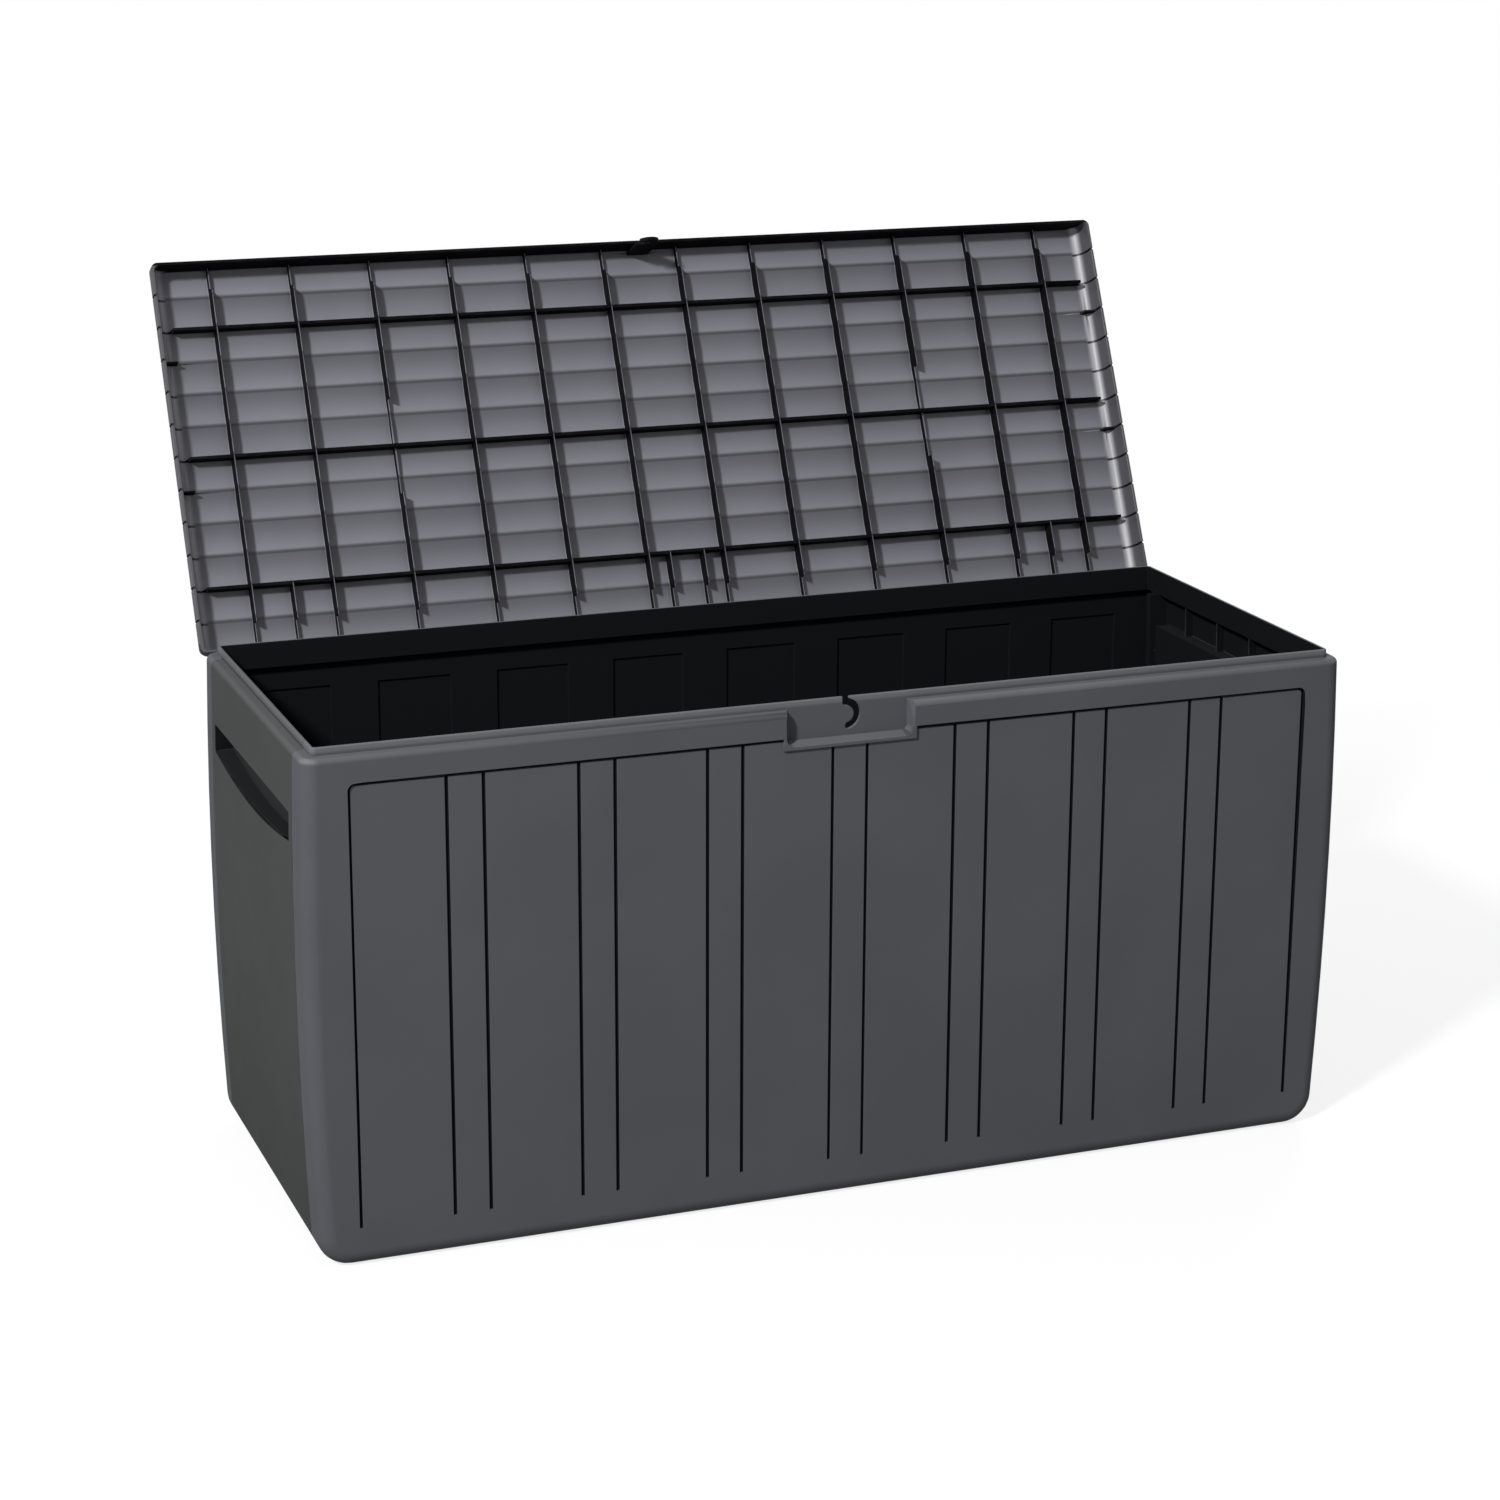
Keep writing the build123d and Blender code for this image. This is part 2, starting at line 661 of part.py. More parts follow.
right_side = side_panel()
parts = {
    "floor_panel": floor_panel(),
    "front_panel": front_panel(),
    "rear_panel": rear_panel(),
    "left_side_panel": right_side.mirror(Plane.YZ),
    "right_side_panel": right_side,
    "lid": lid(),
    "front_left_corner_screws": corner_screws(-1, -1),
    "front_right_corner_screws": corner_screws(1, -1),
    "rear_left_corner_screws": corner_screws(-1, 1),
    "rear_right_corner_screws": corner_screws(1, 1),
    "floor_screws": floor_screws(),
}
for name, station in hinge_stations.items():
    parts["hinge_pin_" + name] = hinge_pin(station)

os.makedirs("parts", exist_ok=True)
for node, shape in parts.items():
    export_step(shape, "parts/" + node + ".step")
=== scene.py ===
# %% [markdown]
# # A deck storage box
# The box stands on a deck or patio and keeps what is stored in it dry. It is put together from a
# few large plastic mouldings: a floor, four walls and a ribbed lid that swings on three hinges.
# The solids already hold the sizes and the joint. This file dresses them: it rounds the edges as a
# mould does, gives each moulding its finish, and lights the box as in a plain studio.

# %% Load the solids
import math

import bmesh
import bpy
from mathutils import Matrix, Vector


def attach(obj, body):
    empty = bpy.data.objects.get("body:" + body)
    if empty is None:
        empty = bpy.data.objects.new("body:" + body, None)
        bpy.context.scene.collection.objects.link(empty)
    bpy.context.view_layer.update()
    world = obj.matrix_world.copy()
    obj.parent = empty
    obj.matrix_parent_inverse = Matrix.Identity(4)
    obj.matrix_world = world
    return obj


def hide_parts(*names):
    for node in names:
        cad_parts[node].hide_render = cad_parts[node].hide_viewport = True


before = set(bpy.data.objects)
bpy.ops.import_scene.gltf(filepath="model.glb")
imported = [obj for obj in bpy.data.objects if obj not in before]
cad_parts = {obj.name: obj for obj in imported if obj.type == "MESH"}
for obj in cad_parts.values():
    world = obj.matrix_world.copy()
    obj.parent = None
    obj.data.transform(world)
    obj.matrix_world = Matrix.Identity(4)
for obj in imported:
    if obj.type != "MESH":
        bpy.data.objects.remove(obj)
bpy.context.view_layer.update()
print("solids:", ", ".join(sorted(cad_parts)))

# %% [markdown]
# ## The camera
# A camera could be placed by eye, but a fit is surer: the corners of the rim, the foot and the lid
# fix where the picture was taken from. The camera stands to the left of the front, well above the
# lid's upper edge, and looks slightly down.

# %% Place the camera
PICTURE_SIDE = 1500        # pixels
FOCAL_LENGTH = 3392.2      # pixels
SENSOR_WIDTH = 36.0        # millimetres
CAMERA_PLACE = Vector((-1.3196, -3.3607, 1.5035))
AZIMUTH = math.radians(21.04)
ELEVATION = math.radians(16.41)
ROLL = math.radians(0.36)

forward = Vector((math.sin(AZIMUTH) * math.cos(ELEVATION),
                  math.cos(AZIMUTH) * math.cos(ELEVATION),
                  -math.sin(ELEVATION)))
level_right = Vector((math.cos(AZIMUTH), -math.sin(AZIMUTH), 0))
level_up = level_right.cross(forward)
right = level_right * math.cos(ROLL) + level_up * math.sin(ROLL)
up = level_up * math.cos(ROLL) - level_right * math.sin(ROLL)
camera_turn = Matrix((right, up, -forward)).transposed().to_4x4()

camera = bpy.data.objects.new("camera", bpy.data.cameras.new("camera"))
camera.data.sensor_width = SENSOR_WIDTH
camera.data.lens = FOCAL_LENGTH / PICTURE_SIDE * SENSOR_WIDTH
camera.matrix_world = Matrix.Translation(CAMERA_PLACE) @ camera_turn
bpy.context.scene.collection.objects.link(camera)
bpy.context.scene.camera = camera
print("lens:", round(camera.data.lens, 1), "mm")

# %% [markdown]
# ## Helpers for sums and colours
# A finish is a tree of nodes. Most of its nodes do a sum, turn a distance into a mask or mix two
# colours. The nodes could be drawn by hand in the editor, but a few helpers keep the trees readable
# and the same each time.

# %% Sums, steps and colours
def new_finish(name):
    """A new material with its node tree and its main shader."""
    finish = bpy.data.materials.new(name)
    finish.use_nodes = True
    tree = finish.node_tree
    return finish, tree, tree.nodes["Principled BSDF"]


def feed(tree, socket, value):
    """Gives a socket a number, or a link from another node's output."""
    if isinstance(value, bpy.types.NodeSocket):
        tree.links.new(value, socket)
    else:
        socket.default_value = value


def sums(tree, operation, *values):
    """A Math node's result."""
    node = tree.nodes.new("ShaderNodeMath")
    node.operation = operation
    for socket, value in zip(node.inputs, values):
        feed(tree, socket, value)
    return node.outputs[0]


def step(tree, value, low, high, start=0.0, end=1.0, course="SMOOTHSTEP"):
    """A step: start below the low value, end above the high one, soft or straight in between."""
    node = tree.nodes.new("ShaderNodeMapRange")
    node.interpolation_type = course
    feed(tree, node.inputs["Value"], value)
    feed(tree, node.inputs["From Min"], low)
    feed(tree, node.inputs["From Max"], high)
    feed(tree, node.inputs["To Min"], start)
    feed(tree, node.inputs["To Max"], end)
    return node.outputs["Result"]


def blend(tree, share, first, second, way="MIX"):
    """A colour between two colours, or their product."""
    node = tree.nodes.new("ShaderNodeMix")
    node.data_type = "RGBA"
    node.blend_type = way
    feed(tree, node.inputs["Factor"], share)
    feed(tree, node.inputs["A"], first)
    feed(tree, node.inputs["B"], second)
    return node.outputs["Result"]


def grey(tree, value):
    """A grey of the given brightness."""
    node = tree.nodes.new("ShaderNodeCombineColor")
    for socket in node.inputs:
        feed(tree, socket, value)
    return node.outputs[0]


print("helpers for sums and colours ready")

# %% [markdown]
# ## Helpers for places and patterns
# A pattern needs to know where on the piece it is. Object coordinates tell that, and they move with
# the piece when the lid swings. What a rule has marked on the faces is read back by the mark's name.

# %% Places, patterns and marks
def places(tree):
    """The Object coordinates."""
    return tree.nodes.new("ShaderNodeTexCoord").outputs["Object"]


def split(tree, place):
    """The X, Y and Z of a place."""
    node = tree.nodes.new("ShaderNodeSeparateXYZ")
    tree.links.new(place, node.inputs[0])
    return node.outputs


def noise(tree, place, scale, detail=2.0):
    """A noise pattern's value, on the given coordinates."""
    node = tree.nodes.new("ShaderNodeTexNoise")
    feed(tree, node.inputs["Vector"], place)
    node.inputs["Scale"].default_value = scale
    node.inputs["Detail"].default_value = detail
    return node.outputs["Fac"]


def grain(tree, shader, place, scale, depth):
    """A fine moulded grain, as a bump on the shader."""
    node = tree.nodes.new("ShaderNodeBump")
    node.inputs["Distance"].default_value = depth
    feed(tree, node.inputs["Height"], noise(tree, place, scale))
    tree.links.new(node.outputs["Normal"], shader.inputs["Normal"])


def mark(tree, name):
    """The value of a mark that was put on the faces."""
    node = tree.nodes.new("ShaderNodeAttribute")
    node.attribute_name = name
    return node.outputs["Fac"]


print("helpers for places and patterns ready")

# %% [markdown]
# ## Moulded skin
# Moulded plastic is never quite one colour or one gloss. A single colour would look like a drawing,
# so a slow noise lets two near tones drift into each other, another one varies the dullness, and a
# fine bump stands for the mould's grain.

# %% Tones, dullness and grain
DRIFT_DETAIL = 4.0
DRIFT_LOW = 0.35
DRIFT_HIGH = 0.65
DULL_SCALE = 25.0          # patches of dullness in a metre
DULL_DETAIL = 3.0
DULL_SPREAD = 0.12
GRAIN_SCALE = 900.0
GRAIN_DEPTH = 0.00006      # metres


def drifting(tree, place, scale, light, deep):
    """Two tones that drift into each other."""
    patches = noise(tree, place, scale, DRIFT_DETAIL)
    return blend(tree, step(tree, patches, DRIFT_LOW, DRIFT_HIGH), light, deep)


def dullness(tree, place, least):
    """A dullness that varies a little upwards from the least."""
    patches = noise(tree, place, DULL_SCALE, DULL_DETAIL)
    return sums(tree, "MULTIPLY_ADD", patches, DULL_SPREAD, least)


print("moulded skin ready")

# %% [markdown]
# ## The wall plastic
# The walls are anthracite polypropylene with a fine, dull grain. Outside they are even, with a painted
# shade in the plank lines and a painted highlight on the rim. Inside the skin is duller, and painted
# darker as a painted shade. The faces carry marks for these places, and only the lip's painted
# highlight and a painted shade towards the foot go by height. The two side walls get the same finish
# in a darker tone, a painted shade.

# %% Wall plastic
WALL_TONE = (0.078, 0.080, 0.089, 1)
WALL_TONE_DEEP = (0.073, 0.075, 0.084, 1)
# The side walls' tones are the wall plastic painted darker, a painted shade.
SIDE_SHADED_TONE = (0.050, 0.0525, 0.052, 1)
SIDE_SHADED_TONE_DEEP = (0.047, 0.0495, 0.049, 1)
# A painted shade for the inside of the box.
WALL_INSIDE_SHADE = (0.007, 0.008, 0.009, 1)
# A painted shade for plank lines, ledges and the latch pocket's corner.
WALL_CREASE_SHADE = (0.006, 0.007, 0.010, 1)
# A painted highlight for the rim, the lip and the corners.
WALL_HIGHLIGHT = (0.200, 0.203, 0.212, 1)
WALL_DRIFT = 6.0           # patches of tone in a metre
WALL_DULL = 0.5
INSIDE_DULL = 0.3          # added inside
WALL_SHINE = 0.005
FOOT_SHADE_HEIGHT = 0.4        # up to here the walls are painted darker towards the foot, a painted shade
WALL_FOOT = 0.98           # brightness left at the foot
SIDE_FOOT = 0.8
LIP_LOW = 0.5505           # the lip gets a painted highlight from here up
LIP_HIGH = 0.5545
LIP_HIGHLIGHT = 0.37             # how strong the lip's painted highlight is


def wall_plastic(name, light, deep, foot):
    """Dull anthracite plastic, in two tones that drift into each other, painted darker towards the
    foot as a painted shade.
    """
    finish, tree, shader = new_finish(name)
    place = places(tree)
    height = split(tree, place)["Z"]
    # The walls are painted darker towards the foot, a painted shade.
    foot_shade = grey(tree, step(tree, height, 0.0, FOOT_SHADE_HEIGHT, foot, 1.0))
    tone = drifting(tree, place, WALL_DRIFT, light, deep)
    tone = blend(tree, 1.0, tone, foot_shade, "MULTIPLY")
    lip_highlight = step(tree, height, LIP_LOW, LIP_HIGH, 0.0, LIP_HIGHLIGHT)
    # The rim, the lip and the corners get a painted highlight.
    tone = blend(tree, sums(tree, "MAXIMUM", mark(tree, "painted_highlight"), lip_highlight), tone, WALL_HIGHLIGHT)
    # Plank lines and ledges get a painted shade.
    tone = blend(tree, mark(tree, "crease_shade"), tone, WALL_CREASE_SHADE)
    inside_shade = mark(tree, "inside_shade")
    # The inside of the box gets a painted shade.
    tone = blend(tree, inside_shade, tone, WALL_INSIDE_SHADE)
    tree.links.new(tone, shader.inputs["Base Color"])
    dull = dullness(tree, place, WALL_DULL)
    feed(tree, shader.inputs["Roughness"], sums(tree, "MULTIPLY_ADD", inside_shade, INSIDE_DULL, dull))
    shader.inputs["Specular IOR Level"].default_value = WALL_SHINE
    grain(tree, shader, place, GRAIN_SCALE, GRAIN_DEPTH)
    return finish


wall_finish = wall_plastic("wall_plastic", WALL_TONE, WALL_TONE_DEEP, WALL_FOOT)
side_shaded_finish = wall_plastic("side_shaded_plastic", SIDE_SHADED_TONE, SIDE_SHADED_TONE_DEEP, SIDE_FOOT)
print("finishes:", wall_finish.name, side_shaded_finish.name)

# %% [markdown]
# ## The closed lid
# The lid rests open, where its planks and ends lie askew. Measures are far plainer on the closed lid:
# the place within a plank is a remainder of Y, and the place within a bend is an angle. So a Mapping
# node turns the coordinates back about the hinge.

# %% Measures of the lid
HINGE = Vector((0, 0.229, 0.543))
OPEN_ANGLE = math.radians(116)
HALF_LENGTH = 0.585
HALF_DEPTH = 0.225
PLANK_PITCH = 0.0375
LID_WALL = 0.0035
CEILING = 0.577            # height of the planks' underside on the closed lid
BEND_RADIUS = 0.0165       # inside, from the planks down to the ends
BEND_START = HALF_LENGTH - LID_WALL - BEND_RADIUS
closing = Matrix.Rotation(OPEN_ANGLE, 3, "X")
opening = closing.inverted()


def closed_place(tree, place):
    """A place on the open lid, turned to where it lies on the closed lid."""
    node = tree.nodes.new("ShaderNodeMapping")
    node.inputs["Rotation"].default_value = (OPEN_ANGLE, 0, 0)
    node.inputs["Location"].default_value = HINGE - closing @ HINGE
    tree.links.new(place, node.inputs["Vector"])
    return node.outputs[0]


print("bends start", round(BEND_START, 4), "m from the middle")

# %% [markdown]
# ## The lid plastic
# The lid is the same plastic, seen from its underside, where its tone is painted lighter with a violet
# cast, a painted light and sheen. Each dished plank has a painted shading from dark at its front edge
# to light at its rear edge, ending in a painted dark line. The bends down to the ends get a painted
# highlight, with painted shade on the walls beyond them and black painted shade in the notches at the
# plank lines. Light alone would show little of this in such a shallow relief, so the tones help it.

# %% Lid plastic
# The lid's underside tone is painted lighter than the walls', a painted light and sheen.
LID_UNDER_LIT = (0.120, 0.120, 0.140, 1)
LID_UNDER_LIT_DEEP = (0.110, 0.110, 0.129, 1)
# A painted highlight for the bends.
LID_BEND_HIGHLIGHT = (0.30, 0.30, 0.32, 1)
# A painted shade for the end walls and the skirt's free edge.
LID_END_SHADE = (0.060, 0.060, 0.070, 1)
# Black painted shade for the ribs and the notches.
LID_RIB_SHADE = (0.003, 0.003, 0.004, 1)
LID_DRIFT = 7.0            # patches of tone in a metre
LID_DULL = 0.38
LID_SHINE = 0.4
GRADE_DARK = 0.6           # painted shade at a plank's front edge
GRADE_LIGHT = 1.32         # and painted light at its lightest place
GRADE_TURN = 0.84          # share of the plank where that is
GRADE_END = 0.955          # share where the dark line is reached
GRADE_LINE = 0.24          # what the painted dark line leaves of the brightness
PLANK_MIDDLE = 0.5
NOTCH = (0.45, 0.475)      # share of the plank, from its middle, where a notch is painted black as painted shade
NOTCH_TURN = (math.radians(6), math.radians(18))
HIGHLIGHT_TURN = (math.radians(6), math.radians(30))
END_SHADE_TURN = (math.radians(36), math.radians(66))


def plank_shading(tree, along):
    """The painted shading across a dished plank, with a painted dark line at its rear edge."""
    rise = step(tree, along, 0.0, GRADE_TURN, GRADE_DARK, GRADE_LIGHT, "LINEAR")
    fall = step(tree, along, GRADE_TURN, GRADE_END, 1.0, GRADE_LINE)
    return grey(tree, sums(tree, "MULTIPLY", rise, fall))


def lid_plastic():
    """Satin plastic for the lid, with painted shading on the planks, painted highlights on the bends
    and painted shade on the ends and ribs underneath.
    """
    finish, tree, shader = new_finish("lid_plastic")
    place = places(tree)
    spot = split(tree, closed_place(tree, place))
    along = sums(tree, "DIVIDE", sums(tree, "ADD", spot["Y"], HALF_DEPTH), PLANK_PITCH)
    along = sums(tree, "FRACT", along)
    tone = drifting(tree, place, LID_DRIFT, LID_UNDER_LIT, LID_UNDER_LIT_DEEP)
    # Each plank gets a painted shading across it.
    tone = blend(tree, 1.0, tone, plank_shading(tree, along), "MULTIPLY")
    reach = sums(tree, "SUBTRACT", sums(tree, "ABSOLUTE", spot["X"]), BEND_START)
    rise = sums(tree, "SUBTRACT", spot["Z"], CEILING - BEND_RADIUS)
    turn = sums(tree, "ARCTAN2", reach, rise)
    # The bends get a painted highlight.
    tone = blend(tree, step(tree, turn, *HIGHLIGHT_TURN), tone, LID_BEND_HIGHLIGHT)
    # The end walls beyond the bends get a painted shade.
    tone = blend(tree, step(tree, turn, *END_SHADE_TURN), tone, LID_END_SHADE)
    # The skirt's free edge away from the front gets the same painted shade.
    tone = blend(tree, mark(tree, "end"), tone, LID_END_SHADE)
    # The plank lines across the bends are painted black, a painted shade.
    off_middle = sums(tree, "ABSOLUTE", sums(tree, "SUBTRACT", along, PLANK_MIDDLE))
    notch_shade = step(tree, off_middle, *NOTCH)
    notch_shade = sums(tree, "MULTIPLY", notch_shade, step(tree, turn, *NOTCH_TURN))
    tone = blend(tree, notch_shade, tone, LID_RIB_SHADE)
    # The ribs are painted black, a painted shade.
    tone = blend(tree, mark(tree, "rib_shade"), tone, LID_RIB_SHADE)
    tree.links.new(tone, shader.inputs["Base Color"])
    feed(tree, shader.inputs["Roughness"], dullness(tree, place, LID_DULL))
    shader.inputs["Specular IOR Level"].default_value = LID_SHINE
    grain(tree, shader, place, GRAIN_SCALE, GRAIN_DEPTH)
    return finish


lid_finish = lid_plastic()
print("finish:", lid_finish.name)

# %% [markdown]
# ## Ribs, floor, pins and screws
# The ribs are painted black as a painted shade and are dull, and the floor is the same plastic with a
# scuffed skin, painted near black as a painted shade inside the box. The pins are plain black plastic,
# and the screws are zinc-plated steel, a little cloudy. Each could have a tree of its own, but they
# are dark or small, so one recipe of two tones in a noise pattern serves all.

# %% The other finishes
# The ribs' two near-black tones are a painted shade.
LID_RIB_SHADE_WORN = (0.006, 0.006, 0.007, 1)
RIB_SHINE = 0.03
# The box floor's near-black tones are a painted shade inside the box.
FLOOR_SHADED_TONE = (0.010, 0.011, 0.012, 1)
FLOOR_SCUFF = (0.018, 0.019, 0.020, 1)
PIN_TONE = (0.020, 0.020, 0.022, 1)
PIN_WORN = (0.035, 0.035, 0.037, 1)
ZINC_TONE = (0.55, 0.55, 0.56, 1)
ZINC_DULL = (0.40, 0.41, 0.42, 1)
SPOT_DETAIL = 4.0
SPOT_LOW = 0.4
SPOT_HIGH = 0.7
SPOT_DULL = 0.2            # how much duller the spots are
FINE_SCALE = 700.0
FINE_DEPTH = 0.00005       # metres


def plain_finish(name, first, second, scale, dull, metal=0.0, shine=0.5):
    """Two tones in a noise pattern, with a dullness that varies with it."""
    finish, tree, shader = new_finish(name)
    place = places(tree)
    spots = noise(tree, place, scale, SPOT_DETAIL)
    tone = blend(tree, step(tree, spots, SPOT_LOW, SPOT_HIGH), first, second)
    tree.links.new(tone, shader.inputs["Base Color"])
    feed(tree, shader.inputs["Roughness"], sums(tree, "MULTIPLY_ADD", spots, SPOT_DULL, dull))
    shader.inputs["Metallic"].default_value = metal
    shader.inputs["Specular IOR Level"].default_value = shine
    grain(tree, shader, place, FINE_SCALE, FINE_DEPTH)
    return finish


rib_shade_finish = plain_finish("rib_shade_plastic", LID_RIB_SHADE, LID_RIB_SHADE_WORN, scale=60.0, dull=0.5, shine=RIB_SHINE)
floor_shaded_finish = plain_finish("floor_plastic", FLOOR_SHADED_TONE, FLOOR_SCUFF, scale=30.0, dull=0.55)
pin_finish = plain_finish("pin_plastic", PIN_TONE, PIN_WORN, scale=120.0, dull=0.35)
screw_finish = plain_finish("screw_steel", ZINC_TONE, ZINC_DULL, scale=300.0, dull=0.25, metal=1.0)
print("finishes:", rib_shade_finish.name, floor_shaded_finish.name, pin_finish.name, screw_finish.name)

# %% [markdown]
# ## Marks on the walls' faces
# Where a face lies and which way it looks tell which tone it gets. A wall's face that looks to the
# middle of the box is inside and gets a painted shade. A face that lies deeper than its plank is the
# bottom or flank of a plank line and gets a painted shade, as do faces that look down in the planked
# field, the hand grip and the latch pocket's left wall. The rim gets a painted highlight where it
# looks up, strongest at its corners. Marks could be painted by hand, but rules give the same result
# each time.

# %% Rules for the walls
WALL_SKIN = 0              # a wall has one finish
FIELD_HALF = 0.5405        # the planked field, with its outer lines
FIELD_BOTTOM = 0.043
FIELD_TOP = 0.521
FIELD_RECESS = 0.003       # at the top, running out to nothing at the bottom
LINE_FLOOR = 0.0008        # a face deeper than this is a plank line's bottom
LINE_FLANK = 0.0004
BOARD = 0.008              # thickness of the planked boards
INNER_HALF_LENGTH = 0.5755
SIDES_START = 0.5          # past this length from the middle lie the side walls
BOARDS_START = 0.17        # past this depth from the middle lie the front and the rear wall
SIDE_RIBS_END = 0.205      # the ribs inside the side walls lie within this depth
SIDE_RIB_PITCH = 0.077
SIDE_RIB_HALF = 0.002
SIDE_RIB_SHADE = 0.65      # their free edges catch some light
LEDGE = 0.549              # height of the rim outside the lip
HEIGHT_PLAY = 0.001        # how exactly a height is known
LATCH_HALF = 0.09
LATCH_LOW = 0.47
LATCH_SHADE = 0.8          # painted shadow on the pocket's left wall
GRIP_HALF = 0.175
GRIP_DEPTH = 0.02
GRIP_LOW = 0.42
GRIP_HIGH = 0.495
GRIP_SHADE = 0.6           # the hand grip is painted darker, a painted shade in its recess
GRIP_FLOOR_SHADE = 0.25    # and its floor gets a darker painted shade still
RIM_HEIGHT = 0.53          # faces above this height get a painted highlight
RIM_HIGHLIGHT = 0.24             # how strong the painted highlight is on a face that looks up
CORNER_START = 0.56
CORNER_GLINT = 2.0           # the rim's corners get a stronger painted highlight, as glints
SLANTED = 0.3              # how far a face looks one way, from 0 to 1
TURNED = 0.5
STEEP = 0.7
SQUARE = 0.9


def wall_marks(place, facing):
    """How far a wall's face gets painted shade inside the box, in a plank line, the grip or the latch
    pocket, or a painted highlight, and the number of its finish.
    """
    far_x = abs(place.x)
    far_y = abs(place.y)
    inward_x = -facing.x * math.copysign(1, place.x)
    inward_y = -facing.y * math.copysign(1, place.y)
    in_grip = far_y < GRIP_HALF and far_x > INNER_HALF_LENGTH - GRIP_DEPTH
    in_grip = in_grip and GRIP_LOW < place.z < GRIP_HIGH and inward_x < SLANTED
    # The hand grip gets a painted shade.
    if in_grip and (far_x < INNER_HALF_LENGTH or facing.z > SLANTED):
        return {"inside_shade": GRIP_SHADE + GRIP_FLOOR_SHADE * max(facing.z, 0)}, WALL_SKIN

    recess = FIELD_RECESS * (place.z - FIELD_BOTTOM) / (FIELD_TOP - FIELD_BOTTOM)
    depth = HALF_DEPTH - recess - far_y
    at_latch = place.y < 0 and far_x < LATCH_HALF and place.z > LATCH_LOW
    # Faces inside the box get a painted shade, lighter on the side ribs' free edges.
    inside_shade = inward_x > TURNED and far_x > SIDES_START
    inside_shade = inside_shade or (inward_y > TURNED and far_y > BOARDS_START)
    inside_shade = inside_shade or (abs(facing.y) > SQUARE and far_x > SIDES_START and far_y < SIDE_RIBS_END)
    inside_shade = inside_shade or (far_x < INNER_HALF_LENGTH and depth > BOARD / 2 and inward_y > -SLANTED
                        and place.z < LEDGE - HEIGHT_PLAY and not at_latch)
    if inside_shade:
        from_rib = abs(far_y % SIDE_RIB_PITCH - SIDE_RIB_PITCH / 2)
        rib_edge = inward_x > TURNED and from_rib < SIDE_RIB_HALF and far_y < 2 * SIDE_RIB_PITCH
        return {"inside_shade": SIDE_RIB_SHADE if rib_edge else 1.0}, WALL_SKIN

    in_field = far_x < FIELD_HALF and depth < BOARD / 2
    in_field = in_field and FIELD_BOTTOM - HEIGHT_PLAY < place.z < FIELD_TOP + HEIGHT_PLAY
    line_depth = LINE_FLANK if abs(facing.x) > STEEP else LINE_FLOOR
    # Plank lines and faces that look down in the planked field get a painted shade.
    shaded_line = in_field and (facing.z < -STEEP or (facing.z < STEEP and depth > line_depth))
    # The latch pocket's left wall gets a painted shadow.
    in_corner = at_latch and place.x < 0 and facing.x > STEEP
    crease_shade = LATCH_SHADE if in_corner else float(shaded_line and not at_latch)
    painted_highlight = 0.0
    # Faces that look up on the rim and in the latch pocket get a painted highlight, strongest at the
    # corners.
    if (place.z > RIM_HEIGHT or at_latch) and facing.z > 0:
        corner = abs(facing.x * facing.y) if far_x > CORNER_START else 0.0
        painted_highlight = facing.z * (RIM_HIGHLIGHT + CORNER_GLINT * corner)
    return {"painted_highlight": painted_highlight, "crease_shade": crease_shade}, WALL_SKIN


print("wall rules ready")

# %% [markdown]
# ## Marks on the lid's faces
# On the lid the same idea works after turning a face back to the closed lid. What lies well below the
# planks is a rib and gets a black painted shade, unless it is a rib's free edge, the rounded end or
# the rear skirt. The skirt's free edge gets a black painted shade along the front and the ends'
# painted shade elsewhere, and the plank lines on the rounded ends are painted black as painted shade.
# The outside is finished like the walls, with painted shade in the plank lines.

# %% Rules for the lid
LID_INSIDE, LID_RIBS, LID_TOP, LID_ENDS = range(4)   # the lid's finishes
RIB_START = 0.0022         # below the planks, past the dish of the planks
RIB_HEIGHTS = (0.0175, 0.008)
SKIRT_HEIGHT = 0.0275
REAR_SKIRT = 1.5 * LID_WALL
ROUND_PLAY = 0.0005        # before a bend, what already counts as the end
END_LINE = 0.0014          # half the width of a plank line or gusset
EDGE_PLAY = 0.0003         # how exactly a free edge's height is known
OUTWARD = 0.2              # how far a face looks one way, from 0 to 1
DOWNWARD = 0.95
SQUARE_ON = 0.97


def closed(place, facing):
    """Where a face lies and looks on the closed lid."""
    return closing @ (place - HINGE) + HINGE, closing @ facing


def is_rim(place, facing):
    """True for the free edge of the lid's skirt."""
    spot, look = closed(place, facing)
    return look.z < -DOWNWARD and abs(CEILING - spot.z - SKIRT_HEIGHT) < EDGE_PLAY


